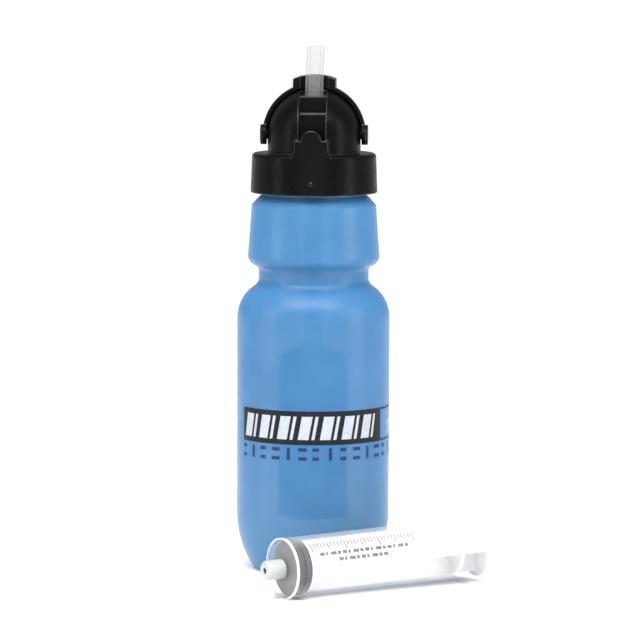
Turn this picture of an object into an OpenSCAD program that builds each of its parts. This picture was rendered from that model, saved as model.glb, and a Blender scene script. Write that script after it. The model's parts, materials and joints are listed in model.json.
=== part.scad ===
// Squeeze-bottle water filter with a folding straw, and its cleaning plunger.
// Millimetres. The bottle stands on z = 0 with its axis on Z, and its front faces -Y.

/* [Bottle] */
// Height of the bottle from the table to the rim of its neck
bottle_h = 214.8; // [180:0.2:260]
// Outside diameter of the straight body
body_d = 80; // [66:0.5:96]
// Wall thickness of the blown body and neck
wall = 1.5; // [1:0.1:2]
// Diameter of the ring that the bottle stands on
foot_d = 61; // [54:0.5:64]
// Height of the curved heel between the foot and the straight wall
heel_h = 30; // [24:0.5:36]
// Height of the hollow pushed up into the base
push_up_h = 3; // [2:0.1:5]
// Outside diameter at the waist
waist_d = 57.6; // [55:0.2:60]
// How far the top of the upper band stands out from the neck
band_ledge = 5.4; // [4:0.1:7]
// How much further the upper band stands out at its widest, near its foot
band_taper = 1.9; // [0.5:0.1:4]
// Height of the upper band
band_h = 27.3; // [22:0.1:33]
// Outside diameter of the neck, under its thread
neck_d = 54.4; // [53:0.2:56]
// Height of the neck, from the shoulder to the rim
neck_h = 17.3; // [16:0.1:20]

/* [Screw thread] */
// Rise of the thread in one turn
pitch = 6; // [5:0.1:7]
// Number of turns
thread_turns = 1.25; // [1:0.05:1.4]
// Height of a thread ridge above its wall
thread_h = 1.4; // [1.2:0.1:1.5]

/* [Lid] */
// Wall thickness of the screw collar
collar_wall = 3.1; // [2.2:0.1:4]
// Height of the screw collar
collar_h = 20.7; // [20:0.1:24]
// How far the foot of the collar stands out past its top
collar_flare = 0.7; // [0.4:0.05:1.5]
// Thickness of the deck that closes the collar
deck_t = 2.2; // [1.8:0.1:3]
// Thickness of the flat gasket under the deck
gasket_t = 2; // [1.5:0.1:2.5]
// Diameter of the dome on the deck
dome_d = 48.6; // [45:0.2:50]
// Wall thickness of the dome
dome_wall = 1.9; // [1.5:0.1:2.4]
// Height of the hood's pivot above the deck
pivot_h = 9.5; // [9:0.1:11]
// Width of the slot that the straw folds into
slot_w = 14.2; // [13:0.1:15]
// Depth of the straw block's top below the top of the dome
block_drop = 4.2; // [3:0.1:7]
// Depth of the slot's lower step below the top of the dome
step_drop = 13; // [10:0.1:15]

/* [Hood] */
// Gap between the dome and the hood
hood_gap = 0.6; // [0.4:0.1:1]
// Wall thickness of the hood
hood_wall = 2.2; // [1.6:0.1:2.6]
// Width of the thumb grip on the hood
grip_w = 22.4; // [21:0.2:26]
// Height of the thumb grip above the hood's surface
grip_h = 4; // [3:0.1:5]
// Diameter of the pivot pins
pin_d = 5; // [4:0.1:6]
// Diameter of the pivot pins' heads and of the hood's ears
ear_d = 10.5; // [9:0.1:12]

/* [Straw and hose] */
// Outside diameter of the straw above the block
straw_d = 9.3; // [8:0.1:9.6]
// Bore of the straw and of the hose
tube_bore_d = 6; // [5:0.1:6]
// Length of straw that stands above the block
straw_free = 26.4; // [20:0.2:30]
// Outside diameter of the inner hose
hose_d = 9.5; // [8.5:0.1:11]

/* [Filter] */
// Outside diameter of the filter housing
filter_d = 36; // [30:0.5:44]
// Length of the filter between the faces of its two caps
filter_l = 84; // [70:0.5:92]
// Wall thickness of the filter housing
filter_wall = 2; // [1.5:0.1:2.5]
// Gap between the filter and the raised centre of the bottle's base
filter_gap = 23.5; // [15:0.5:30]
// Thickness of the potting that holds the fibre ends
potting_t = 10; // [7:0.5:12]
// Diameter of one drawn fibre strand
fibre_d = 2.4; // [2:0.1:2.8]

/* [Cleaning plunger] */
// Outside diameter of the barrel
barrel_d = 30.6; // [25:0.1:37]
// Wall thickness of the barrel
barrel_wall = 1.4; // [1.1:0.1:1.8]
// Length of the barrel from its front rim to the front of the finger flange
barrel_l = 106; // [94:0.5:134]
// How far the finger flange's flats stand out from the barrel
flat_reach = 2.7; // [1.5:0.1:5]
// How far the finger flange's wings stand out from the barrel
wing_reach = 11.2; // [8:0.1:14]
// Diameter of the thumb disc
thumb_d = 31; // [24:0.5:31]
// Diameter of the nozzle, with its sleeve
nozzle_d = 10; // [9:0.1:12]
// Length of the nozzle in front of the rim
nozzle_l = 9.5; // [8:0.5:14]
// Length of the rubber stopper
stopper_l = 8; // [7.5:0.5:13]
// Place of the centre of the barrel's front rim across the table
rim_x = -9.6; // [-30:0.2:0]
// Place of the centre of the barrel's front rim towards the front
rim_y = -103.6; // [-130:0.2:-95]
// Direction of the barrel, in degrees from +X towards +Y
barrel_turn = 34.5; // [20:0.5:36]

/* [Hidden] */
$fn = 96;
eps = 0.01;
far = 60;            // longer than any cut needs

// Fits
run_gap = 0.06;      // radial clearance of a turning pin
free_gap = 0.3;      // gap between parts that turn past each other

// Bottle levels, from the rim down, and profile radii
rim_z = bottle_h;
shoulder_z = rim_z - neck_h;
shoulder_drop = 5.2;
band_top_z = shoulder_z - shoulder_drop;
band_low_z = band_top_z - band_h;
neck_r = neck_d / 2;
band_top_r = neck_r + band_ledge;
band_r = band_top_r + band_taper;
bore_r = neck_r - wall - 0.3;
waist_r = waist_d / 2;
shoulder_r = 20;     // round of the body's shoulder
waist_round = 5;     // hollow round on the lower side of the waist
groove_round = 3.5;  // hollow round on its upper side
band_round = 5;      // round under the upper band
waist_flat = 3.6;
edge_r = 0.8;        // round of the upper band's top edge
waist_top_z = band_low_z - arc_rise(groove_round, band_round, waist_r, band_r);
waist_low_z = waist_top_z - waist_flat;
body_top_z = waist_low_z - arc_rise(waist_round, shoulder_r, waist_r, body_d / 2);
heel_r = ((body_d - foot_d) / 2) / 2 + heel_h ^ 2 / (body_d - foot_d);
push_r = foot_d / 2 - 6.5;
floor_z = push_up_h + wall;

// Thread
ridge_foot = 2.4;
ridge_top = 1.2;
thread_z = shoulder_z + 5.5;
thread_steps = 24;   // arcs in one turn

// Lid levels and radii
deck_low_z = rim_z + gasket_t;
deck_z = deck_low_z + deck_t;
collar_low_z = deck_z - collar_h;
collar_bore_r = neck_r + thread_h + 0.8;
collar_r = collar_bore_r + collar_wall;
dome_r = dome_d / 2;
pivot_z = deck_z + pivot_h;
plug_r = bore_r - free_gap;
plug_l = 6;
plug_wall = 1.8;
plug_lead = 0.5;     // lead-in round the plug's foot
collar_edge = 2;     // round of the collar's upper edge
small_edge = 0.3;
mark_r = 0.9;        // round mark on the front of the collar
mark_rise = 0.05;
mark_up = 6.2;
straw_r = straw_d / 2;
slot_back = straw_r + 1.55;       // rear end of the slot, behind the straw
block_front = straw_r + 2.55;     // front of the straw block, ahead of the axis
step_front = block_front + 5.8;   // front of the lower step, ahead of the axis
slot_floor_z = deck_z + 1;
block_z = pivot_z + dome_r - block_drop;
step_z = pivot_z + dome_r - step_drop;

// Latch post at the front of the collar
post_w = 17.5;
post_foot_w = 20.3;
rim_lead = 1.5;      // how far the hood's front rim stands ahead of the pivot
latch_gap = 0.2;
post_z = pivot_z - rim_lead - latch_gap;
tab_r = 5.25;
tab_t = 2.4;

// Hood
hood_in_r = dome_r + hood_gap;
hood_r = hood_in_r + hood_wall;
hood_back = 8;       // degrees that the hood reaches below the level of its pivot at the back
notch_back = straw_r + 1.85;
grip_depth = 12;
grip_round = 3.2;
ridge_r = 0.45;      // ribs across the back of the thumb grip
ear_x = hood_r + 0.15;
pin_head_t = 0.85;
pin_sink = 3.5;      // how far a pin is pressed into the dome

// Straw, its connector and the hose
straw_stem_r = straw_r - 0.15;
straw_bore_r = straw_r + 0.1;
straw_flare = 0.25;  // how much wider the straw is where it stands on the block
flare_h = 2;
straw_edge = 0.4;
tube_r = tube_bore_d / 2;
straw_top_z = block_z + straw_free;
straw_flange_r = straw_r + 2;
straw_flange_t = 1.5;
straw_low_z = deck_low_z - 9;
connector_flange_t = 1.5;
connector_z = straw_low_z - connector_flange_t;
barb_l = 8;
barb_lead = 1.6;     // length of a barb's cone
barb_step = 0.45;    // depth of the step behind it
barb_wall = 1.1;

// Vent valve in the floor of the slot
vent_y = -(step_front + dome_r) / 2;
vent_stem_r = 1.1;
vent_hole_r = 0.6;
vent_ring_r = 2.3;
umbrella_r = 3.6;

// Filter levels and radii
filter_r = filter_d / 2;
filter_in_r = filter_r - filter_wall;
filter_low_z = floor_z + filter_gap;
filter_top_z = filter_low_z + filter_l;
cap_t = 4;
cap_edge = 0.6;
cap_plug_wall = 4.5; // wall of the part of a cap that is inside the housing
cap_hollow = 1.5;    // depth of a cap's hollow past the housing's end
outlet_plug_l = 8;
inlet_plug_l = 7;
oring_set = 3.4;     // from a plug's end to the middle of its O-ring
oring_r = 1.2;       // radius of an O-ring's section
oring_mid_r = filter_in_r - oring_r;
cone_h = 6;
outlet_z = filter_top_z + cone_h;
outlet_r = hose_d / 2;
housing_low_z = filter_low_z + cap_t;
housing_top_z = filter_top_z - cap_t;
potting_top_z = housing_top_z - outlet_plug_l;
outlet_oring_z = potting_top_z + oring_set;
inlet_plug_z = housing_low_z + inlet_plug_l;
inlet_oring_z = inlet_plug_z - oring_set;
potting_low_z = potting_top_z - potting_t;
fibre_r = fibre_d / 2;
fibre_step = fibre_d + 1;
fibre_turn_z = inlet_plug_z + filter_in_r - 1;

// Cleaning plunger: a local frame with its front rim at x = 0 and its axis on +X
barrel_r = barrel_d / 2;
barrel_in_r = barrel_r - barrel_wall;
rim_bead = 0.3;
rim_r = barrel_r + rim_bead;
flange_flats = barrel_d + 2 * flat_reach;
flange_wings = barrel_d + 2 * wing_reach;
front_t = 1.5;
flange_t = 2.4;
nozzle_r = nozzle_d / 2;
nozzle_core_r = nozzle_r - 1.7;
nozzle_bore_r = 1.6;
stopper_gap = 0.3;
stopper_x = front_t + stopper_gap;
stopper_r = barrel_in_r - 0.05;
groove_w = 1.2;
groove_t = 0.7;      // depth of the stopper's groove
rib_t = 1.8;
disc_t = 2;          // disc of the rod behind the stopper
rod_x = stopper_x + stopper_l;
rod_r = barrel_in_r - 1;
thumb_x = barrel_l + flange_t + 7.5;
thumb_r = thumb_d / 2;
thumb_t = 2.4;
head_r = 4.5;        // head of the rod, in the stopper
head_l = 2.2;
head_neck_r = 3;
head_neck_l = 2.6;
head_gap = 0.1;
barrel_tilt = atan((flange_flats / 2 - rim_r) / barrel_l);

// Rise between the centres of two arcs, one hollow and one full, that touch
function arc_rise(hollow, full, low_r, high_r) =
    sqrt((hollow + full) ^ 2 - (low_r + hollow - (high_r - full)) ^ 2);

// Points of an arc from angle a to angle b
function arc(centre, r, a, b, steps = 8) =
    [for (i = [0 : steps]) let (t = a + (b - a) * i / steps) centre + r * [cos(t), sin(t)]];

// The same open outline moved sideways by d, to its left when d is positive
function moved_aside(path, d) = [
    for (i = [0 : len(path) - 1])
        let (
            before = path[max(i - 1, 0)],
            after = path[min(i + 1, len(path) - 1)],
            along = (after - before) / norm(after - before)
        )
        path[i] + d * [-along[1], along[0]]
];

// Outside of the bottle from its foot ring to the top of the upper band
function bottle_outline() =
    let (
        body_r = body_d / 2,
        heel_a = -asin(heel_h / heel_r),
        low_a = acos((waist_r + waist_round - body_r + shoulder_r) / (waist_round + shoulder_r)),
        high_a = acos((waist_r + groove_round - band_r + band_round) / (groove_round + band_round))
    )
    concat(
        arc([body_r - heel_r, heel_h], heel_r, heel_a, 0, 12),
        arc([body_r - shoulder_r, body_top_z], shoulder_r, 0, low_a, 14),
        arc([waist_r + waist_round, waist_low_z], waist_round, 180 + low_a, 180, 8),
        arc([waist_r + groove_round, waist_top_z], groove_round, 180, 180 - high_a, 6),
        arc([band_r - band_round, band_low_z], band_round, -high_a, 0, 8),
        arc([band_top_r - edge_r, band_top_z - edge_r], edge_r, 0, 60, 3),
        [[neck_r + 2 * edge_r, shoulder_z - 2 * edge_r]],
        arc([neck_r + edge_r, shoulder_z], edge_r, 210, 180, 2)
    );

module bottle() {
    outside = bottle_outline();
    inside = [for (p = moved_aside(outside, wall)) if (p[1] > floor_z && p[1] < shoulder_z) p];
    color([0.30, 0.60, 0.88])
        union() {
            rotate_extrude()
                polygon(concat(
                    [[0, push_up_h], [push_r - push_up_h, push_up_h], [push_r, 0]],
                    outside,
                    [[neck_r, rim_z - 0.6], [neck_r - 0.6, rim_z], [bore_r, rim_z], [bore_r, shoulder_z]],
                    [for (i = [len(inside) - 1 : -1 : 0]) inside[i]],
                    [[inside[0][0] - 1.5, floor_z], [0, floor_z]]
                ));
            thread_ridge(neck_r - 0.4, neck_r + thread_h, thread_z);
        }
}

// A right-hand thread ridge whose middle starts at height z, built as short stepped arcs
module thread_ridge(foot_r, crest_r, z) {
    count = round(thread_turns * thread_steps);
    turn = 360 / thread_steps;
    for (i = [0 : count - 1]) {
        fade = min(1, (i + 0.5) / 2, (count - i - 0.5) / 2);
        tip_r = foot_r + (crest_r - foot_r) * fade;
        translate([0, 0, z + pitch * i / thread_steps])
            rotate(i * turn)
                rotate_extrude(angle = turn + 0.5)
                    polygon([
                        [foot_r, -ridge_foot / 2], [tip_r, -ridge_top / 2],
                        [tip_r, ridge_top / 2], [foot_r, ridge_foot / 2],
                    ]);
    }
}

module lid_body() {
    color([0.10, 0.10, 0.11])
        difference() {
            union() {
                collar();
                dome();
                latch_post();
            }
            dome_slot();
            dome_pockets();
            translate([0, 0, deck_low_z - eps])
                cylinder(r = straw_bore_r, h = block_z - deck_low_z + 1);
            pivot_bores();
            vent_holes();
        }
}

// Screw collar with its deck, plug and thread
module collar() {
    foot_r = collar_r + collar_flare;
    plug_low_z = deck_low_z - plug_l;
    rotate_extrude()
        polygon(concat(
            [[0, deck_low_z], [plug_r - plug_wall, deck_low_z], [plug_r - plug_wall, plug_low_z]],
            [[plug_r - plug_lead, plug_low_z], [plug_r, plug_low_z + plug_lead], [plug_r, deck_low_z]],
            [[collar_bore_r, deck_low_z], [collar_bore_r, collar_low_z]],
            [[foot_r - small_edge, collar_low_z], [foot_r, collar_low_z + small_edge]],
            arc([collar_r - collar_edge, deck_z - collar_edge], collar_edge, 0, 90, 6),
            [[0, deck_z]]
        ));
    thread_ridge(collar_bore_r + 0.4, neck_r + 0.5, thread_z - pitch / 2);
    // a small raised mark that shows which side is the front
    translate([0, -collar_r, collar_low_z + mark_up])
        rotate([90, 0, 0])
            cylinder(r = mark_r, h = collar_flare + mark_rise);
}

module dome() {
    translate([0, 0, deck_z - eps])
        cylinder(r = dome_r, h = pivot_h + eps);
    intersection() {
        translate([0, 0, pivot_z])
            sphere(r = dome_r);
        translate([-far, -far, pivot_z - eps])
            cube([2 * far, 2 * far, far]);
    }
}

// Post and tab at the front that the closed hood lands on
module latch_post() {
    foot_z = deck_z - 2.2;
    back_y = -dome_r + 2;
    intersection() {
        translate([0, back_y, 0])
            rotate([90, 0, 0])
                linear_extrude(collar_r + back_y)
                    polygon([
                        [-post_foot_w / 2, foot_z], [post_foot_w / 2, foot_z],
                        [post_foot_w / 2, deck_z], [post_w / 2, deck_z + 2.4],
                        [post_w / 2, post_z], [-post_w / 2, post_z],
                        [-post_w / 2, deck_z + 2.4], [-post_foot_w / 2, deck_z],
                    ]);
        translate([0, 0, foot_z])
            cylinder(r = collar_r, h = 12 + pivot_h);
    }
    intersection() {
        translate([0, -collar_r + tab_t + 0.6, 0])
            rotate([90, 0, 0])
                linear_extrude(far)
                    translate([0, post_z])
                        circle(r = tab_r);
        translate([0, 0, post_z - tab_r])
            difference() {
                cylinder(r = collar_r, h = 3 * tab_r);
                translate([0, 0, -1])
                    cylinder(r = collar_r - tab_t, h = 4 * tab_r);
            }
    }
}

// Slot for the folded straw, open to the front and the top
module dome_slot() {
    top = pivot_z + far / 2;
    rotate([90, 0, 90])
        linear_extrude(slot_w, center = true)
            polygon([
                [-dome_r - 0.2, slot_floor_z], [-step_front, slot_floor_z],
                [-step_front, step_z], [-block_front, step_z],
                [-block_front, block_z], [slot_back, block_z],
                [slot_back, top], [-dome_r - 0.2, top],
            ]);
}

// Hollows under the dome on each side of the slot, open to the bottle
module dome_pockets() {
    in_r = dome_r - dome_wall;
    inner_x = slot_w / 2 + dome_wall;
    for (side = [-1, 1])
        intersection() {
            union() {
                translate([0, 0, deck_low_z - 1])
                    cylinder(r = plug_r - plug_wall - 0.6, h = 1 + deck_t);
                translate([0, 0, deck_z - eps])
                    cylinder(r = in_r, h = pivot_h + eps);
                translate([0, 0, pivot_z])
                    sphere(r = in_r);
            }
            translate([side > 0 ? inner_x : -inner_x - far, -far, deck_low_z - 1])
                cube([far, 2 * far, 2 * far]);
        }
    // hollow under the lower step, ahead of the straw's bore
    translate([-slot_w / 2 + dome_wall, -step_front + dome_wall, deck_low_z - 1])
        cube([
            slot_w - 2 * dome_wall,
            step_front - dome_wall - straw_flange_r - free_gap,
            step_z - dome_wall - deck_low_z + 1,
        ]);
}

module pivot_bores() {
    translate([0, 0, pivot_z])
        rotate([0, 90, 0])
            cylinder(d = pin_d, h = 2 * (dome_r + 1), center = true);
}

module vent_holes() {
    translate([0, vent_y, deck_low_z - 1]) {
        cylinder(r = vent_stem_r, h = deck_t + 3);
        for (a = [45 : 90 : 315])
            rotate(a)
                translate([vent_ring_r, 0, 0])
                    cylinder(r = vent_hole_r, h = deck_t + 3);
    }
}

// Silicone umbrella valve, pushed up into the slot's floor from below
module vent_valve() {
    floor_t = slot_floor_z - deck_low_z;
    color([0.75, 0.77, 0.78])
        translate([0, vent_y, deck_low_z])
            rotate_extrude()
                polygon([
                    [0, -1.5], [1.4, -1.5], [umbrella_r, -0.5], [umbrella_r, 0], [vent_stem_r, 0],
                    [vent_stem_r, floor_t], [1.9, floor_t], [0.9, floor_t + 1.6], [0, floor_t + 1.6],
                ]);
}

module lid_gasket() {
    color([0.82, 0.84, 0.85])
        translate([0, 0, rim_z])
            difference() {
                cylinder(r = collar_bore_r - free_gap, h = gasket_t);
                translate([0, 0, -1])
                    cylinder(r = bore_r, h = gasket_t + 2);
            }
}

// Two headed pins through the hood's ears into the dome
module pivot_pins() {
    color([0.12, 0.12, 0.13])
        for (side = [-1, 1])
            translate([0, 0, pivot_z])
                rotate([0, side * 90, 0])
                    rotate_extrude()
                        polygon([
                            [0, dome_r - pin_sink], [pin_d / 2 - small_edge, dome_r - pin_sink],
                            [pin_d / 2, dome_r - pin_sink + small_edge], [pin_d / 2, ear_x],
                            [ear_d / 2, ear_x], [ear_d / 2, ear_x + pin_head_t - small_edge],
                            [ear_d / 2 - small_edge, ear_x + pin_head_t], [0, ear_x + pin_head_t],
                        ]);
}

// Turning hood, drawn open, with its ears and the thumb grip round the straw
module hood() {
    color([0.08, 0.08, 0.09])
        translate([0, 0, pivot_z])
            difference() {
                union() {
                    intersection() {
                        sphere(r = hood_r);
                        hood_sector();
                    }
                    for (side = [-1, 1])
                        rotate([0, side * 90, 0])
                            translate([0, 0, hood_in_r])
                                cylinder(d = ear_d, h = ear_x - 0.1 - hood_in_r);
                    thumb_grip();
                }
                sphere(r = hood_in_r);
                rotate([0, 90, 0])
                    cylinder(d = pin_d + 2 * run_gap, h = 3 * hood_r, center = true);
                translate([-slot_w / 2, -far, 0])
                    cube([slot_w, far + notch_back, far]);
            }
}

// The part of space that the open hood takes up: behind its rim and above its back edge
module hood_sector() {
    intersection() {
        translate([-far, -rim_lead, -far])
            cube([2 * far, far, 2 * far]);
        rotate([-hood_back, 0, 0])
            translate([-far, -far, 0])
                cube([2 * far, 2 * far, far]);
    }
}

module thumb_grip() {
    top = hood_r + grip_h;
    translate([0, -rim_lead, 0])
        rotate([-90, 0, 0])
            linear_extrude(grip_depth)
                difference() {
                    intersection() {
                        circle(r = top);
                        rounded_bar(grip_w, top);
                    }
                    circle(r = hood_in_r + hood_wall / 2);
                }
    for (i = [0 : 2])
        translate([0, grip_depth - rim_lead, hood_r + 0.2 + 1.3 * i])
            rotate([0, 90, 0])
                cylinder(r = ridge_r, h = grip_w - 2 * grip_round, center = true, $fn = 24);
}

// Upright bar from the middle to a height, with round upper corners, drawn downwards for thumb_grip
module rounded_bar(width, height) {
    union() {
        translate([-width / 2, -height + grip_round])
            square([width, height - grip_round]);
        translate([-width / 2 + grip_round, -height])
            square([width - 2 * grip_round, height]);
        for (side = [-1, 1])
            translate([side * (width / 2 - grip_round), -height + grip_round])
                circle(r = grip_round);
    }
}

// Soft straw, drawn upright; its stem passes through the block and its flange seals under the deck
module straw() {
    seal_z = deck_low_z - 0.1;
    color([0.93, 0.94, 0.94])
        rotate_extrude()
            polygon([
                [tube_r, straw_low_z], [straw_stem_r, straw_low_z],
                [straw_stem_r, seal_z - straw_flange_t], [straw_flange_r, seal_z - straw_flange_t],
                [straw_flange_r, seal_z], [straw_stem_r, seal_z], [straw_stem_r, block_z + free_gap],
                [straw_r + straw_flare, block_z + free_gap], [straw_r, block_z + free_gap + flare_h],
                [straw_r, straw_top_z - straw_edge], [straw_r - straw_edge, straw_top_z],
                [tube_r, straw_top_z],
            ]);
}

// Double-ended barb that joins the straw to the inner hose
module hose_connector() {
    in_r = tube_r - barb_wall;
    barb_low_z = connector_z - barb_l;
    barb_top_z = straw_low_z + barb_l;
    neck = tube_r - barb_step;
    color([0.88, 0.89, 0.90])
        rotate_extrude()
            polygon([
                [in_r, barb_low_z], [neck, barb_low_z], [tube_r, barb_low_z + barb_lead],
                [neck, barb_low_z + barb_lead], [neck, connector_z], [straw_stem_r, connector_z],
                [straw_stem_r, straw_low_z], [neck, straw_low_z], [neck, barb_top_z - barb_lead],
                [tube_r, barb_top_z - barb_lead], [neck, barb_top_z], [in_r, barb_top_z],
            ]);
}

// Hose from the connector down to the filter's outlet
module inner_hose() {
    color([0.85, 0.90, 0.93])
        translate([0, 0, outlet_z])
            difference() {
                cylinder(d = hose_d, h = connector_z - outlet_z);
                translate([0, 0, -1])
                    cylinder(r = tube_r, h = connector_z - outlet_z + 2);
            }
}

module filter_outlet_cap() {
    in_r = tube_r - barb_wall;
    hollow_r = filter_in_r - cap_plug_wall;
    groove_r = oring_mid_r - oring_r;
    barb_top_z = outlet_z + barb_l;
    color([0.20, 0.24, 0.30])
        rotate_extrude()
            polygon([
                [in_r, barb_top_z], [in_r, housing_top_z + 1], [hollow_r, housing_top_z - cap_hollow],
                [hollow_r, potting_top_z], [filter_in_r, potting_top_z],
                [filter_in_r, outlet_oring_z - oring_r], [groove_r, outlet_oring_z - oring_r],
                [groove_r, outlet_oring_z + oring_r], [filter_in_r, outlet_oring_z + oring_r],
                [filter_in_r, housing_top_z], [filter_r, housing_top_z], [filter_r, filter_top_z - cap_edge],
                [filter_r - cap_edge, filter_top_z], [outlet_r, outlet_z], [tube_r - barb_step, outlet_z],
                [tube_r - barb_step, barb_top_z - barb_lead], [tube_r, barb_top_z - barb_lead],
                [tube_r - barb_step, barb_top_z],
            ]);
}

module filter_housing() {
    color([0.55, 0.66, 0.75])
        translate([0, 0, housing_low_z])
            difference() {
                cylinder(r = filter_r, h = housing_top_z - housing_low_z);
                translate([0, 0, -1])
                    cylinder(r = filter_in_r, h = housing_top_z - housing_low_z + 2);
            }
}

// Lower cap, with slots that let the bottle's water in
module filter_inlet_cap() {
    hollow_r = filter_in_r - cap_plug_wall;
    groove_r = oring_mid_r - oring_r;
    slots = 8;
    slot_from = 3.5;
    slot_t = 2;
    color([0.20, 0.24, 0.30])
        difference() {
            rotate_extrude()
                polygon([
                    [0, filter_low_z], [filter_r - cap_edge, filter_low_z], [filter_r, filter_low_z + cap_edge],
                    [filter_r, housing_low_z], [filter_in_r, housing_low_z],
                    [filter_in_r, inlet_oring_z - oring_r], [groove_r, inlet_oring_z - oring_r],
                    [groove_r, inlet_oring_z + oring_r], [filter_in_r, inlet_oring_z + oring_r],
                    [filter_in_r, inlet_plug_z], [hollow_r, inlet_plug_z],
                    [hollow_r, housing_low_z - cap_hollow], [0, housing_low_z - cap_hollow],
                ]);
            for (i = [0 : slots - 1])
                rotate(i * 360 / slots)
                    translate([slot_from, -slot_t / 2, filter_low_z - 1])
                        cube([hollow_r - 1 - slot_from, slot_t, cap_t]);
        }
}

module oring(z) {
    color([0.12, 0.12, 0.13])
        translate([0, 0, z])
            rotate_extrude()
                translate([oring_mid_r, 0])
                    circle(r = oring_r, $fn = 32);
}

module fibre_potting() {
    color([0.88, 0.86, 0.76])
        translate([0, 0, potting_low_z])
            cylinder(r = filter_in_r, h = potting_t);
}

// Looped hollow fibres: both ends of each loop are held in the potting
module fibre_bundle() {
    reach = filter_in_r - fibre_r - 0.6;
    rows = floor(reach / fibre_step);
    color([0.95, 0.95, 0.92])
        for (row = [-rows : rows])
            for (k = [0 : floor(reach / fibre_step)]) {
                y = row * fibre_step;
                half = fibre_step * (k + 0.5);
                if (norm([half, y]) < reach)
                    fibre_loop(half, y);
            }
}

module fibre_loop(half, y) {
    translate([0, y, fibre_turn_z])
        union() {
            rotate([-90, 0, 0])
                rotate_extrude(angle = 180)
                    translate([half, 0])
                        circle(r = fibre_r, $fn = 24);
            for (side = [-1, 1])
                translate([side * half, 0, 0])
                    cylinder(r = fibre_r, h = potting_low_z - fibre_turn_z, $fn = 24);
        }
}

// Sets pieces of the cleaning plunger down on the table, resting on its rim and finger flange
module lay_down() {
    translate([rim_x, rim_y, rim_r * cos(barrel_tilt)])
        rotate([0, -barrel_tilt, barrel_turn])
            children();
}

// A solid of revolution about +X from an outline of [distance along X, radius] points
module turned(outline) {
    rotate([0, 90, 0])
        rotate_extrude()
            polygon([for (p = outline) [p[1], p[0]]]);
}

module plunger_barrel() {
    color([0.92, 0.95, 0.97])
        lay_down()
            union() {
                turned([
                    [-nozzle_l, nozzle_bore_r], [-nozzle_l, nozzle_core_r], [0, nozzle_core_r], [0, rim_r],
                    [1.3, rim_r], [1.3, barrel_r], [barrel_l + 1, barrel_r], [barrel_l + 1, barrel_in_r],
                    [front_t, barrel_in_r], [front_t, nozzle_bore_r],
                ]);
                finger_flange();
            }
}

// Flange with flats above and below and round wings at the sides
module finger_flange() {
    translate([barrel_l, 0, 0])
        rotate([90, 0, 90])
            linear_extrude(flange_t)
                difference() {
                    intersection() {
                        circle(d = flange_wings);
                        square([flange_wings, flange_flats], center = true);
                    }
                    circle(r = barrel_in_r);
                }
}

// Soft white sleeve on the nozzle that seals on the filter's straw
module nozzle_sleeve() {
    color([0.97, 0.98, 0.96])
        lay_down()
            turned([
                [-nozzle_l - 0.6, nozzle_bore_r], [-nozzle_l - 0.6, nozzle_r - 0.8], [-nozzle_l + 0.2, nozzle_r],
                [-0.2, nozzle_r], [-0.2, nozzle_core_r], [-nozzle_l, nozzle_core_r], [-nozzle_l, nozzle_bore_r],
            ]);
}

// Rubber stopper with two sealing ribs, hollow at the back for the rod's head
module plunger_stopper() {
    rib_w = (stopper_l - groove_w) / 2;
    groove_r = stopper_r - groove_t;
    neck_x = rod_x - head_neck_l;
    color([0.45, 0.48, 0.51])
        lay_down()
            turned([
                [stopper_x, 0], [stopper_x, stopper_r - 4], [stopper_x + 0.8, stopper_r - 0.4],
                [stopper_x + 1.2, stopper_r], [stopper_x + rib_w, stopper_r], [stopper_x + rib_w, groove_r],
                [stopper_x + rib_w + groove_w, groove_r], [stopper_x + rib_w + groove_w, stopper_r],
                [rod_x, stopper_r], [rod_x, head_neck_r], [neck_x, head_neck_r], [neck_x, head_r],
                [neck_x - head_l, head_r], [neck_x - head_l - 1, 0],
            ]);
}

// Cross-ribbed rod with its head in the stopper, two discs and the thumb disc
module plunger_rod() {
    head_x = rod_x - head_neck_l - head_l + head_gap;
    neck_x = rod_x - head_neck_l - head_gap;
    guide_x = thumb_x - 16;
    guide_t = 1.6;
    color([0.95, 0.96, 0.97])
        lay_down()
            union() {
                turned([
                    [head_x, 0], [head_x, head_r - head_gap], [neck_x, head_r - head_gap],
                    [neck_x, head_neck_r - head_gap], [rod_x, head_neck_r - head_gap],
                    [rod_x, rod_r], [rod_x + disc_t, rod_r], [rod_x + disc_t, 0],
                ]);
                for (a = [0, 90])
                    rotate([a, 0, 0])
                        translate([rod_x + 1, -rib_t / 2, -rod_r])
                            cube([thumb_x - rod_x, rib_t, 2 * rod_r]);
                turned([
                    [guide_x, 0], [guide_x, rod_r], [guide_x + guide_t, rod_r], [guide_x + guide_t, 0],
                ]);
                turned([
                    [thumb_x, 0], [thumb_x, thumb_r], [thumb_x + thumb_t - cap_edge, thumb_r],
                    [thumb_x + thumb_t, thumb_r - cap_edge], [thumb_x + thumb_t, 0],
                ]);
            }
}

bottle();
lid_body();
lid_gasket();
vent_valve();
pivot_pins();
hood();
straw();
hose_connector();
inner_hose();
filter_outlet_cap();
filter_housing();
filter_inlet_cap();
oring(outlet_oring_z);  // outlet_oring
oring(inlet_oring_z);  // inlet_oring
fibre_potting();
fibre_bundle();
plunger_barrel();
nozzle_sleeve();
plunger_stopper();
plunger_rod();
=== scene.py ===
"""Bottle water filter with a straw lid, and its cleaning plunger: the visual model on the CAD frame."""
import json
import math

import bmesh
import bpy
from mathutils import Matrix, Vector


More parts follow.
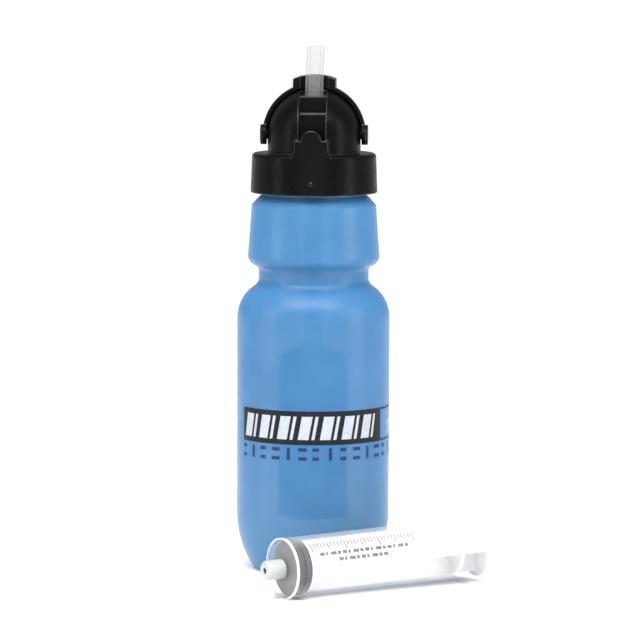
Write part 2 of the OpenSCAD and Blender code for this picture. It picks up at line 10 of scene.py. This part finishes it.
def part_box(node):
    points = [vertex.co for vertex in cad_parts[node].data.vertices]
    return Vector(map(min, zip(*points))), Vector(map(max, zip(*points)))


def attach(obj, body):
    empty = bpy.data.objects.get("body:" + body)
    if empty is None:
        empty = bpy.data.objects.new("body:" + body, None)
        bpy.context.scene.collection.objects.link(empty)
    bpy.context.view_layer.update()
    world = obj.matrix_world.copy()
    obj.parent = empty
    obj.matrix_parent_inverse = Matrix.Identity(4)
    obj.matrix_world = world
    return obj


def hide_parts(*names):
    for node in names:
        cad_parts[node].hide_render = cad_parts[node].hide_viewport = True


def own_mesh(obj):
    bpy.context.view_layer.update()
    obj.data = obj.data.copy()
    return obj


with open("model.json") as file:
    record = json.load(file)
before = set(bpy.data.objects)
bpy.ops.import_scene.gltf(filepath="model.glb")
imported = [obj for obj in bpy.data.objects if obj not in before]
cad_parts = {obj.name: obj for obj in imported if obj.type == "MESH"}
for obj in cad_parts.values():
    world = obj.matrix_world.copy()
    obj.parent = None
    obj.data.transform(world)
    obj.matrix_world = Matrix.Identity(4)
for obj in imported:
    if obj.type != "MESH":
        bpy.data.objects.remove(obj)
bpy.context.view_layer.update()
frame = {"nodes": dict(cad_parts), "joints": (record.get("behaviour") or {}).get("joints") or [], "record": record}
nodes = frame["nodes"]
MM = 0.001

# ---------------------------------------------------------------- sizes, mostly read from the frame


def joint(name):
    return next(j for j in frame["joints"] if j["name"] == name)


def mount(name):
    return next(m for m in frame["record"]["mounts"] if m["name"] == name)


BODY_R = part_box("bottle")[1].x
DECK_LOW_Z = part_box("lid_gasket")[1].z       # underside of the lid's deck

# Straw
STRAW_LOW, STRAW_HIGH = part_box("straw")
STRAW_R = mount("straw_end")["dims"]["r_mm"] * MM
TUBE_BORE = 3.0 * MM
BLOCK_Z = joint("hood_turn")["deforming_nodes"][0]["fixed_end_z_m"]     # top of the block under the tube

# Plunger barrel, which lies on the floor with its front rim touching it
NOZZLE_MIDDLE = 5.0 * MM      # from the nozzle's mount back to the rim
RIM_BEAD = 0.3 * MM           # how far the rim's bead stands out from the barrel
ROD_AXIS = Vector(joint("rod_slide")["axis"]).normalized()
RIM_AT = Vector(mount("plunger_nozzle")["pos_m"]) + ROD_AXIS * NOZZLE_MIDDLE
BARREL_R = RIM_AT.z / math.sqrt(1 - ROD_AXIS.z ** 2) - RIM_BEAD

# ---------------------------------------------------------------- camera, lights and floor

VIEW_AZIMUTH = 3.2
VIEW_ELEVATION = 5.7
VIEW_DISTANCE = 2.2
VIEW_TARGET = Vector((0, 0, 0.135))
VIEW_ROLL = 0.23
VIEW_SHIFT = -0.0016
LENS = 241.5
SENSOR = 36
FAR = 200

WORLD_STRENGTH = 0.42
SUN_STRENGTH = 2.4
SUN_ANGLE = 60
FLOOR_HALF = 40.0


def direction(azimuth, elevation):
    """Unit vector to a place seen from the object: azimuth 0 is the front, and it grows towards +X."""
    a, e = math.radians(azimuth), math.radians(elevation)
    return Vector((math.sin(a) * math.cos(e), -math.cos(a) * math.cos(e), math.sin(e)))


def add_to_scene(name, data):
    made = bpy.data.objects.new(name, data)
    bpy.context.scene.collection.objects.link(made)
    return made


def make_camera():
    data = bpy.data.cameras.new("camera")
    data.lens = LENS
    data.sensor_width = SENSOR
    data.shift_x = VIEW_SHIFT
    data.clip_end = FAR
    cam = add_to_scene("camera", data)
    back = direction(VIEW_AZIMUTH, VIEW_ELEVATION)
    turn = (-back).to_track_quat("-Z", "Y").to_matrix().to_4x4()
    roll = Matrix.Rotation(math.radians(VIEW_ROLL), 4, "Z")
    cam.matrix_world = Matrix.Translation(VIEW_TARGET + back * VIEW_DISTANCE) @ turn @ roll
    bpy.context.scene.camera = cam


def aim(lamp, back):
    """Turns a lamp so that it shines from the direction given."""
    lamp.rotation_mode = "QUATERNION"
    lamp.rotation_quaternion = (-back).to_track_quat("-Z", "Y")


def area_light(name, azimuth, elevation, distance, size, power, target=(0, 0, 0.15)):
    data = bpy.data.lights.new(name, "AREA")
    data.shape = "RECTANGLE"
    data.size, data.size_y = size
    data.energy = power
    lamp = add_to_scene(name, data)
    back = direction(azimuth, elevation)
    lamp.location = Vector(target) + back * distance
    aim(lamp, back)


def make_lights():
    world = bpy.data.worlds.new("studio")
    bpy.context.scene.world = world
    world.use_nodes = True
    back = world.node_tree.nodes["Background"]
    back.inputs["Color"].default_value = (1, 1, 1, 1)
    back.inputs["Strength"].default_value = WORLD_STRENGTH
    sun = bpy.data.lights.new("overhead", "SUN")
    sun.energy = SUN_STRENGTH
    sun.angle = math.radians(SUN_ANGLE)
    aim(add_to_scene("overhead", sun), direction(-15, 68))
    area_light("front_softbox", 3, 55, 1.3, (2.1, 0.4), 21)
    area_light("left_panel", -66, 14, 1.4, (0.3, 1.0), 4.8)
    area_light("right_panel", 72, 14, 1.4, (0.35, 1.0), 7.5)
    area_light("low_front", 0, 10, 1.6, (1.4, 0.25), 3.2, target=(0.02, 0, 0.04))


def make_floor():
    half = FLOOR_HALF
    corners = [(-half, -half, 0), (half, -half, 0), (half, half, 0), (-half, half, 0)]
    mesh = bpy.data.meshes.new("floor")
    mesh.from_pydata(corners, [], [(0, 1, 2, 3)])
    floor = add_to_scene("floor", mesh)
    paper = bpy.data.materials.new("floor_paper")
    paper.use_nodes = True
    bsdf = paper.node_tree.nodes["Principled BSDF"]
    bsdf.inputs["Base Color"].default_value = (0.93, 0.93, 0.93, 1)
    bsdf.inputs["Roughness"].default_value = 0.9
    bsdf.inputs["Specular IOR Level"].default_value = 0.1
    mesh.materials.append(paper)


# ---------------------------------------------------------------- materials

EDGE_R = 1.0 * MM             # how round the black plastic's edges look
BEAD_LENGTH = 1.4 * MM        # the cloudy zone at the barrel's front rim
BEAD_DEPTH = 0.4 * MM
BEAD_CLOUD = 0.75


class Shader:
    """A node material on a Principled BSDF, with short ways to vary its colour, roughness and height."""

    def __init__(self, name, **values):
        self.material = bpy.data.materials.new(name)
        self.material.use_nodes = True
        self.tree = self.material.node_tree
        self.bsdf = self.tree.nodes["Principled BSDF"]
        for key, value in values.items():
            self.bsdf.inputs[key.replace("_", " ")].default_value = value
        self.coords = self.add("ShaderNodeTexCoord")
        self.height = None

    def add(self, kind, **values):
        """A new node. Each value goes to the node's property of that name, or else to its input."""
        made = self.tree.nodes.new(kind)
        for key, value in values.items():
            if hasattr(made, key):
                setattr(made, key, value)
            else:
                made.inputs[key.replace("_", " ")].default_value = value
        return made

    def link(self, a, b):
        self.tree.links.new(a, b)

    def noise(self, scale, detail):
        made = self.add("ShaderNodeTexNoise", Scale=scale, Detail=detail)
        self.link(self.coords.outputs["Object"], made.inputs["Vector"])
        return made.outputs["Fac"]

    def ramp(self, source, *stops):
        """Colours or grey values at places between 0 and 1."""
        made = self.add("ShaderNodeValToRGB")
        elements = made.color_ramp.elements
        while len(elements) < len(stops):
            elements.new(0.5)
        for element, (at, value) in zip(elements, stops):
            element.position = at
            element.color = (value, value, value, 1) if isinstance(value, (int, float)) else (*value, 1)
        self.link(source, made.inputs["Fac"])
        return made.outputs["Color"]

    def feed(self, node, index, value):
        if isinstance(value, bpy.types.NodeSocket):
            self.link(value, node.inputs[index])
        elif value is not None:
            node.inputs[index].default_value = value

    def math(self, operation, first, second):
        made = self.add("ShaderNodeMath", operation=operation)
        self.feed(made, 0, first)
        self.feed(made, 1, second)
        return made.outputs["Value"]

    def vector(self, operation, first, second, output="Vector"):
        made = self.add("ShaderNodeVectorMath", operation=operation)
        self.feed(made, 0, first)
        self.feed(made, 1, second)
        return made.outputs[output]

    def vary(self, key, source, low, high):
        """Spreads an input between two values by a noise."""
        self.link(self.ramp(source, (0.35, low), (0.65, high)), self.bsdf.inputs[key])

    def colour(self, source, low, high):
        self.vary("Base Color", source, low, high)

    def roughness(self, source, low, high):
        self.vary("Roughness", source, low, high)

    def bump(self, source, depth, strength):
        made = self.add("ShaderNodeBump", Strength=strength, Distance=depth)
        self.link(source, made.inputs["Height"])
        if self.height is not None:
            self.link(self.height, made.inputs["Normal"])
        self.height = made.outputs["Normal"]
        self.link(self.height, self.bsdf.inputs["Normal"])

    def round_edges(self, radius):
        made = self.add("ShaderNodeBevel", samples=6, Radius=radius)
        self.height = made.outputs["Normal"]
        self.link(self.height, self.bsdf.inputs["Normal"])

    def gloss_edges(self, radius, flat_level, edge_level):
        """Gives the edges, where the rounded normal leaves the true one, more gloss than the faces."""
        bevel = self.add("ShaderNodeBevel", samples=6, Radius=radius)
        flat = self.add("ShaderNodeNewGeometry")
        same = self.vector("DOT_PRODUCT", bevel.outputs["Normal"], flat.outputs["Normal"], "Value")
        level = self.ramp(same, (0.82, edge_level), (0.98, flat_level))
        self.link(level, self.bsdf.inputs["Specular IOR Level"])

    def paint_floor_bounce(self, top, share, tone):
        """Paints floor bounce light: mixes a lighter tone into the colour below a height, up to the share at z =
        0.
        """
        place = self.add("ShaderNodeSeparateXYZ")
        self.link(self.coords.outputs["Object"], place.inputs["Vector"])
        height = self.math("DIVIDE", place.outputs["Z"], top)
        mix = self.add("ShaderNodeMixRGB")
        self.link(self.ramp(height, (0.0, share), (1.0, 0.0)), mix.inputs["Fac"])
        self.link(self.bsdf.inputs["Base Color"].links[0].from_socket, mix.inputs["Color1"])
        mix.inputs["Color2"].default_value = (*tone, 1)
        self.link(mix.outputs["Color"], self.bsdf.inputs["Base Color"])


def black_plastic(name, rough, tone):
    s = Shader(name, IOR=1.46)
    s.round_edges(EDGE_R)
    s.gloss_edges(EDGE_R, 0.065, 0.9)
    s.colour(s.noise(60, 3.0), (tone, tone, tone * 1.1), (tone * 1.5, tone * 1.5, tone * 1.6))
    s.roughness(s.noise(420, 4.0), rough - 0.04, rough + 0.05)
    s.bump(s.noise(2600, 2.0), 0.01 * MM, 0.4)
    return s.material


def silicone(name, low, high, rough):
    s = Shader(name, IOR=1.41, Subsurface_Weight=0.1, Subsurface_Scale=3.0 * MM)
    s.colour(s.noise(120, 2.0), low, high)
    s.roughness(s.noise(700, 3.0), rough - 0.05, rough + 0.05)
    s.bump(s.noise(1500, 2.0), 0.01 * MM, 0.3)
    return s.material


def film(name, low, high, rough, thin, edge, level, frosted=None, foot=None):
    """A see-through wall: its alpha is thin where it is seen face on, and edge where it is seen edge on.

    A frosted mask makes it cloudy where it is 1. A foot gives the top height, share and tone of painted floor
    bounce light, a lighter colour mixed in towards the bottom.
    """
    s = Shader(name, IOR=1.45, Specular_IOR_Level=level)
    s.colour(s.noise(60, 2.0), low, high)
    if foot:
        s.paint_floor_bounce(*foot)
    s.roughness(s.noise(300, 2.0), rough - 0.03, rough + 0.04)
    s.bump(s.noise(70, 1.0), 0.02 * MM, 0.4)
    facing = s.add("ShaderNodeLayerWeight", Blend=0.5)
    alpha = s.ramp(facing.outputs["Facing"], (0.3, thin), (0.95, edge))
    if frosted:
        alpha = s.math("MAXIMUM", alpha, frosted(s))
    s.link(alpha, s.bsdf.inputs["Alpha"])
    return s.material


def rim_bead(s):
    """BEAD_CLOUD in the bead round the front rim of the plunger's barrel, and 0 elsewhere."""
    place = s.vector("SUBTRACT", s.coords.outputs["Object"], RIM_AT)
    along = s.vector("DOT_PRODUCT", place, ROD_AXIS, "Value")
    out = s.vector("LENGTH", s.vector("CROSS_PRODUCT", place, ROD_AXIS), None, "Value")
    near = s.math("LESS_THAN", along, BEAD_LENGTH)
    outside = s.math("GREATER_THAN", out, BARREL_R - BEAD_DEPTH)
    return s.math("MULTIPLY", s.math("MULTIPLY", near, outside), BEAD_CLOUD)


def moulded(name, low, high, rough):
    s = Shader(name, IOR=1.47)
    s.round_edges(0.3 * MM)
    s.colour(s.noise(90, 3.0), low, high)
    s.roughness(s.noise(500, 3.0), rough - 0.04, rough + 0.05)
    s.bump(s.noise(1800, 2.0), 0.01 * MM, 0.5)
    return s.material


def ink(name, low, high):
    s = Shader(name, IOR=1.45, Specular_IOR_Level=0.12)
    s.colour(s.noise(500, 4.0), low, high)
    s.roughness(s.noise(300, 3.0), 0.32, 0.42)
    s.bump(s.noise(2500, 3.0), 0.006 * MM, 0.6)
    return s.material


def paint(material, *names):
    for name in names:
        mesh = nodes[name].data
        mesh.materials.clear()
        mesh.materials.append(material)


def paint_bottle():
    # The foot paints bounce light from the floor as a lighter blue towards the bottle's bottom.
    blue = film(
        "bottle_polyethylene", (0.040, 0.178, 0.385), (0.050, 0.196, 0.410),
        rough=0.33, thin=0.60, edge=0.97, level=0.4, foot=(70 * MM, 0.55, (0.10, 0.25, 0.44)),
    )
    paint(blue, "bottle")


def paint_lid():
    paint(black_plastic("lid_black", 0.30, 0.002), "lid_body", "pivot_pins")
    paint(black_plastic("hood_black", 0.27, 0.0014), "hood")
    paint(silicone("pale_silicone", (0.55, 0.58, 0.60), (0.64, 0.67, 0.68), 0.5), "lid_gasket", "vent_valve")


def paint_filter():
    paint(moulded("connector_white", (0.70, 0.72, 0.74), (0.76, 0.78, 0.80), 0.4), "hose_connector")
    paint(silicone("hose_clear", (0.07, 0.11, 0.16), (0.10, 0.15, 0.21), 0.3), "inner_hose")
    caps = moulded("filter_cap_dark", (0.035, 0.045, 0.07), (0.05, 0.06, 0.09), 0.4)
    paint(caps, "filter_outlet_cap", "filter_inlet_cap")
    paint(moulded("filter_case", (0.05, 0.09, 0.15), (0.07, 0.12, 0.19), 0.3), "filter_housing")
    rubber = moulded("black_rubber", (0.012, 0.012, 0.012), (0.02, 0.02, 0.02), 0.6)
    paint(rubber, "outlet_oring", "inlet_oring")
    paint(moulded("potting_resin", (0.66, 0.62, 0.44), (0.74, 0.70, 0.52), 0.35), "fibre_potting")
    paint(moulded("fibre_white", (0.80, 0.80, 0.76), (0.88, 0.88, 0.84), 0.6), "fibre_bundle")


def paint_plunger():
    clear = film(
        "barrel_clear", (0.66, 0.67, 0.675), (0.72, 0.73, 0.735),
        rough=0.14, thin=0.04, edge=0.29, level=0.5, frosted=rim_bead,
    )
    paint(clear, "plunger_barrel")
    paint(silicone("white_silicone", (0.37, 0.40, 0.39), (0.43, 0.46, 0.45), 0.4), "nozzle_sleeve")
    grey = moulded("stopper_rubber", (0.028, 0.032, 0.040), (0.038, 0.044, 0.053), 0.5)
    paint(grey, "plunger_stopper")
    paint(moulded("rod_white", (0.71, 0.72, 0.73), (0.77, 0.78, 0.79), 0.3), "plunger_rod")


# ---------------------------------------------------------------- straw

STEM_STEP = 0.15 * MM         # how much thinner the straw is inside the lid
FLANGE_STEP = 2.0 * MM
FLANGE_T = 1.5 * MM
SEAL_GAP = 0.1 * MM
SEAT_GAP = 0.3 * MM           # between the block and the tube's wide foot
FLARE = 0.25 * MM
FLARE_H = 2.0 * MM
LIP_H = 1.0 * MM
LIP_R = 0.4 * MM
TOP_GAP = 0.5 * MM            # kept free under the CAD straw's top, for the slanted end
BOW = 0.8 * MM                # how far the tube's top leans to the right
SLANT = 0.07
SLANT_H = 1.2 * MM
TUBE_ROWS = 14
FLARE_ROWS = 3


def add_mesh(name, bm, material):
    mesh = bpy.data.meshes.new(name)
    bm.normal_update()
    bm.to_mesh(mesh)
    bm.free()
    for polygon in mesh.polygons:
        polygon.use_smooth = True
    mesh.materials.append(material)
    return add_to_scene(name, mesh)


def lathe(name, outline, material, shape=lambda p: p, steps=64):
    """A ring of surface from a closed outline of (radius, height) points, each passed through shape."""
    bm = bmesh.new()
    rings = []
    for i in range(steps):
        a = 2 * math.pi * i / steps
        places = [Vector((r * math.cos(a), r * math.sin(a), z)) for r, z in outline]
        rings.append([bm.verts.new(shape(p)) for p in places])
    count = len(outline)
    for i in range(steps):
        here, there = rings[i], rings[(i + 1) % steps]
        for k in range(count):
            m = (k + 1) % count
            bm.faces.new((here[k], there[k], there[m], here[m]))
    bmesh.ops.recalc_face_normals(bm, faces=bm.faces)
    return add_mesh(name, bm, material)


def make_straw(material):
    """The straw in two parts: the stem in the lid with its flange, and the tube that stands on the block."""
    stem_r = STRAW_R - STEM_STEP
    flange_r = STRAW_R + FLANGE_STEP
    flange_z = DECK_LOW_Z - SEAL_GAP
    seat = BLOCK_Z + SEAT_GAP
    top = STRAW_HIGH.z - TOP_GAP
    lip_z = top - LIP_H

    def lean(p):
        share = max(0.0, (p.z - seat) / (top - seat))
        tilt = SLANT * p.x if p.z > top - SLANT_H else 0
        return Vector((p.x + BOW * share ** 2, p.y, p.z + tilt))

    stem = [
        (TUBE_BORE, STRAW_LOW.z), (stem_r, STRAW_LOW.z), (stem_r, flange_z - FLANGE_T),
        (flange_r, flange_z - FLANGE_T), (flange_r, flange_z), (stem_r, flange_z),
        (stem_r, seat), (TUBE_BORE, seat),
    ]
    lower = lathe("straw_stem", stem, material)
    foot = [(1 - k / FLARE_ROWS, k / FLARE_ROWS) for k in range(FLARE_ROWS + 1)]
    tube = [(STRAW_R + FLARE * out, seat + FLARE_H * up) for out, up in foot]
    wall_z = seat + FLARE_H
    tube += [(STRAW_R, wall_z + (lip_z - wall_z) * k / TUBE_ROWS) for k in range(1, TUBE_ROWS + 1)]
    tube += [(STRAW_R - 0.05 * MM, top - 0.35 * MM), (STRAW_R - LIP_R, top)]
    tube += [(TUBE_BORE + LIP_R, top), (TUBE_BORE, top - LIP_R)]
    tube += [(TUBE_BORE, seat + (lip_z - seat) * (1 - k / TUBE_ROWS)) for k in range(TUBE_ROWS + 1)]
    upper = lathe("straw_tube", tube, material, lean)
    for piece in (lower, upper):
        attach(piece, "lid")
        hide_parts("straw")
    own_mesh(upper)


# ---------------------------------------------------------------- print

PRINT_GAP = 0.06 * MM         # from the wall out to the print
COLUMN = 1.2 * MM             # widest flat step of a print round a wall
SAME = 1e-9
MERGE = 1e-7

# On the bottle: arcs in degrees from the front towards +X, and heights above the floor
BAND_ARC = (-60.8, 61.7)
BAND_Z = (70.0 * MM, 87.5 * MM)
BOX_ARC = (64.2, 98)
BOX_FRAME = 1.1 * MM
BAR_GROUPS = 7
BAR_WIDE, BAR_SPACE, BAR_NARROW = 5.6 * MM, 1.5 * MM, 1.6 * MM
BAR_LEAN = 2.2 * MM
BAR_INSET = 2.7 * MM
BAR_MARGIN = 2.2 * MM
BAR_ENDS = 5.0 * MM           # what the groups leave free of the band's length
BAR_LIFT = 0.03 * MM          # keeps the bars above the band
CHEVRON_REACH, CHEVRON_DROP, CHEVRON_T = 3.4 * MM, 2.6 * MM, 1.5 * MM
CHEVRON_LIFTS = (-3.4 * MM, 0.6 * MM)
ROW_Z = (61.9 * MM, 68.4 * MM)
ROW_MARKS = 15
ROW_STROKE = 1.8 * MM
ROW_SHORT, ROW_LONG = 3.4 * MM, 4.6 * MM
ROW_UPRIGHT_IN = 1.2 * MM

# On the plunger's barrel: distances from the front rim, and arcs in degrees up from its front
TICKS = 30
TICK_RANGE = (11 * MM, 71 * MM)
TICK_ARC = 56
TICK_W = 0.5 * MM
TICK_SHORT, TICK_MIDDLE, TICK_LONG = 3.2 * MM, 4.4 * MM, 5.6 * MM
DASH_ROWS = ((30, 14.6 * MM, 66 * MM), (17, 25 * MM, 53.6 * MM))
DASH_HALF = 0.9 * MM
DASHES = ((2.6 * MM, 0.7 * MM), (1.4 * MM, 1.6 * MM), (3.4 * MM, 0.7 * MM), (2.0 * MM, 0.9 * MM))


def height_range(outline, x):
    """Lowest and highest point of a convex outline at x."""
    heights = []
    for (x0, y0), (x1, y1) in zip(outline, outline[1:] + outline[:1]):
        if abs(x1 - x0) < SAME:
            if abs(x - x0) < SAME:
                heights += [y0, y1]
        elif min(x0, x1) - SAME <= x <= max(x0, x1) + SAME:
            heights.append(y0 + (y1 - y0) * (x - x0) / (x1 - x0))
    return min(heights), max(heights)


def wrapped(name, shapes, material, radius, at):
    """Flat shapes laid round a cylinder. Each shape is a convex outline of (arc length, height) points."""
    bm = bmesh.new()
    for outline in shapes:
        corners = {p[0] for p in outline}
        low, high = min(corners), max(corners)
        columns = max(1, math.ceil((high - low) / COLUMN))
        cuts = sorted({low + (high - low) * k / columns for k in range(columns + 1)} | corners)
        spans = [(x, *height_range(outline, x)) for x in cuts]
        for (xa, low_a, high_a), (xb, low_b, high_b) in zip(spans, spans[1:]):
            if xb - xa < MERGE:
                continue
            quad = [(xa, low_a), (xb, low_b), (xb, high_b), (xa, high_a)]
            bm.faces.new([bm.verts.new(at(x / radius, radius + PRINT_GAP, y)) for x, y in quad])
    bmesh.ops.remove_doubles(bm, verts=bm.verts, dist=MERGE)
    bmesh.ops.dissolve_degenerate(bm, dist=MERGE / 10, edges=bm.edges)
    return add_mesh(name, bm, material)


def on_bottle(turn, r, z):
    """A place on the bottle's wall: the turn is from the front towards +X."""
    return Vector((r * math.sin(turn), -r * math.cos(turn), z))


def block(x0, x1, y0, y1, lean=0.0):
    return [(x0, y0), (x1, y0), (x1 + lean, y1), (x0 + lean, y1)]


def arc(radius, degrees):
    return radius * math.radians(degrees)


def box_shapes(start, inner, end, low, high):
    """The outlined box after the band: its top, bottom, far side, and the near side as wide as the gap."""
    return [
        block(start, end, high - BOX_FRAME, high),
        block(start, end, low, low + BOX_FRAME),
        block(end - BOX_FRAME, end, low + BOX_FRAME, high - BOX_FRAME),
        block(start, inner, low + BOX_FRAME, high - BOX_FRAME),
    ]


def bar_shapes(start, end, low, high):
    """Slanted bars in the band, in groups of a wide one and a narrow one."""
    shapes = []
    pitch = (end - start - BAR_ENDS) / BAR_GROUPS
    for k in range(BAR_GROUPS):
        x = start + BAR_MARGIN + pitch * k
        narrow = x + BAR_WIDE + BAR_SPACE
        shapes.append(block(x, x + BAR_WIDE, low + BAR_INSET, high - BAR_INSET, BAR_LEAN))
        shapes.append(block(narrow, narrow + BAR_NARROW, low + BAR_INSET, high - BAR_INSET, BAR_LEAN))
    return shapes


def chevron_shapes(middle, centre):
    """Two chevrons that point up, each of two arms."""
    shapes = []
    for lift in CHEVRON_LIFTS:
        tip = centre + lift
        for side in (-1, 1):
            far, low = middle + side * CHEVRON_REACH, tip - CHEVRON_DROP
            shapes.append([(middle, tip), (far, low), (far, low + CHEVRON_T), (middle, tip + CHEVRON_T)])
    return shapes


def row_shapes(start, end):
    """A row of upright bars, with two pairs of level dashes between them."""
    shapes = []
    low, high = ROW_Z
    step = (end - start) / ROW_MARKS
    for k in range(ROW_MARKS):
        x = start + step * k
        if k % 3 == 1:
            x += ROW_UPRIGHT_IN
            shapes.append(block(x, x + ROW_STROKE, low, high))
        else:
            width = ROW_LONG if k % 2 else ROW_SHORT
            shapes.append(block(x, x + width, low, low + ROW_STROKE))
            shapes.append(block(x, x + width, high - ROW_STROKE, high))
    return shapes


def make_bottle_print(dark, light, blue):
    low, high = BAND_Z
    start, end = [arc(BODY_R, v) for v in BAND_ARC]
    box_start, box_end = [arc(BODY_R, v) for v in BOX_ARC]
    middle, centre = (box_start + box_end) / 2, (low + high) / 2
    outline = box_shapes(end, box_start, box_end, low, high)
    pieces = [
        wrapped("print_band", [block(start, end, low, high)], dark, BODY_R, on_bottle),
        wrapped("print_box", outline, dark, BODY_R, on_bottle),
        wrapped("print_bars", bar_shapes(start, end, low, high), light, BODY_R + BAR_LIFT, on_bottle),
        wrapped("print_peak", chevron_shapes(middle, centre), light, BODY_R, on_bottle),
        wrapped("print_marks", row_shapes(start, box_end), blue, BODY_R, on_bottle),
    ]
    for piece in pieces:
        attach(piece, "bottle")


def tick_shapes():
    """Graduations along the barrel: every tenth is long, and the fifth between two of them is middling."""
    shapes = []
    first, last = TICK_RANGE
    base = arc(BARREL_R, TICK_ARC)
    for k in range(TICKS + 1):
        z = first + (last - first) * k / TICKS
        length = TICK_LONG if k % 10 == 0 else TICK_MIDDLE if k % 5 == 0 else TICK_SHORT
        shapes.append(block(base - length, base, z - TICK_W / 2, z + TICK_W / 2))
    return shapes


def dash_shapes():
    """Two rows of dashes of uneven lengths, where the photograph has words."""
    shapes = []
    for turn, z, stop in DASH_ROWS:
        at = arc(BARREL_R, turn)
        k = 0
        while z < stop:
            length, space = DASHES[k % len(DASHES)]
            shapes.append(block(at - DASH_HALF, at + DASH_HALF, z, z + length))
            z += length + space
            k += 1
    return shapes


def make_barrel_print(tick_ink, dash_ink):
    back = Vector((0, 0, 1)).cross(ROD_AXIS).normalized()      # towards the bottle
    up = ROD_AXIS.cross(back).normalized()

    def on_barrel(turn, r, along):
        return RIM_AT + ROD_AXIS * along + (-back * math.cos(turn) + up * math.sin(turn)) * r

    prints = (("barrel_ticks", tick_shapes(), tick_ink), ("barrel_dashes", dash_shapes(), dash_ink))
    for name, shapes, material in prints:
        piece = wrapped(name, shapes, material, BARREL_R, on_barrel)
        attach(piece, "plunger_barrel")


# ---------------------------------------------------------------- the model

scene = bpy.context.scene
scene.view_settings.view_transform = "Standard"
scene.view_settings.look = "None"
scene.cycles.use_denoising = True
scene.cycles.max_bounces = 14
scene.cycles.transmission_bounces = 12
scene.cycles.transparent_max_bounces = 12
scene.cycles.caustics_reflective = False
make_camera()
make_lights()
make_floor()

paint_bottle()
paint_lid()
paint_filter()
paint_plunger()
straw_clear = film(
    "straw_silicone", (0.35, 0.365, 0.375), (0.40, 0.415, 0.425),
    rough=0.34, thin=0.13, edge=0.62, level=0.3,
)
make_straw(straw_clear)
make_bottle_print(
    ink("ink_black", (0.008, 0.010, 0.014), (0.014, 0.016, 0.020)),
    ink("ink_light", (0.36, 0.39, 0.43), (0.42, 0.45, 0.49)),
    ink("ink_blue", (0.010, 0.028, 0.10), (0.016, 0.04, 0.13)),
)
make_barrel_print(
    ink("ink_grey", (0.05, 0.05, 0.06), (0.08, 0.08, 0.09)),
    ink("ink_pale_grey", (0.12, 0.12, 0.13), (0.18, 0.18, 0.19)),
)
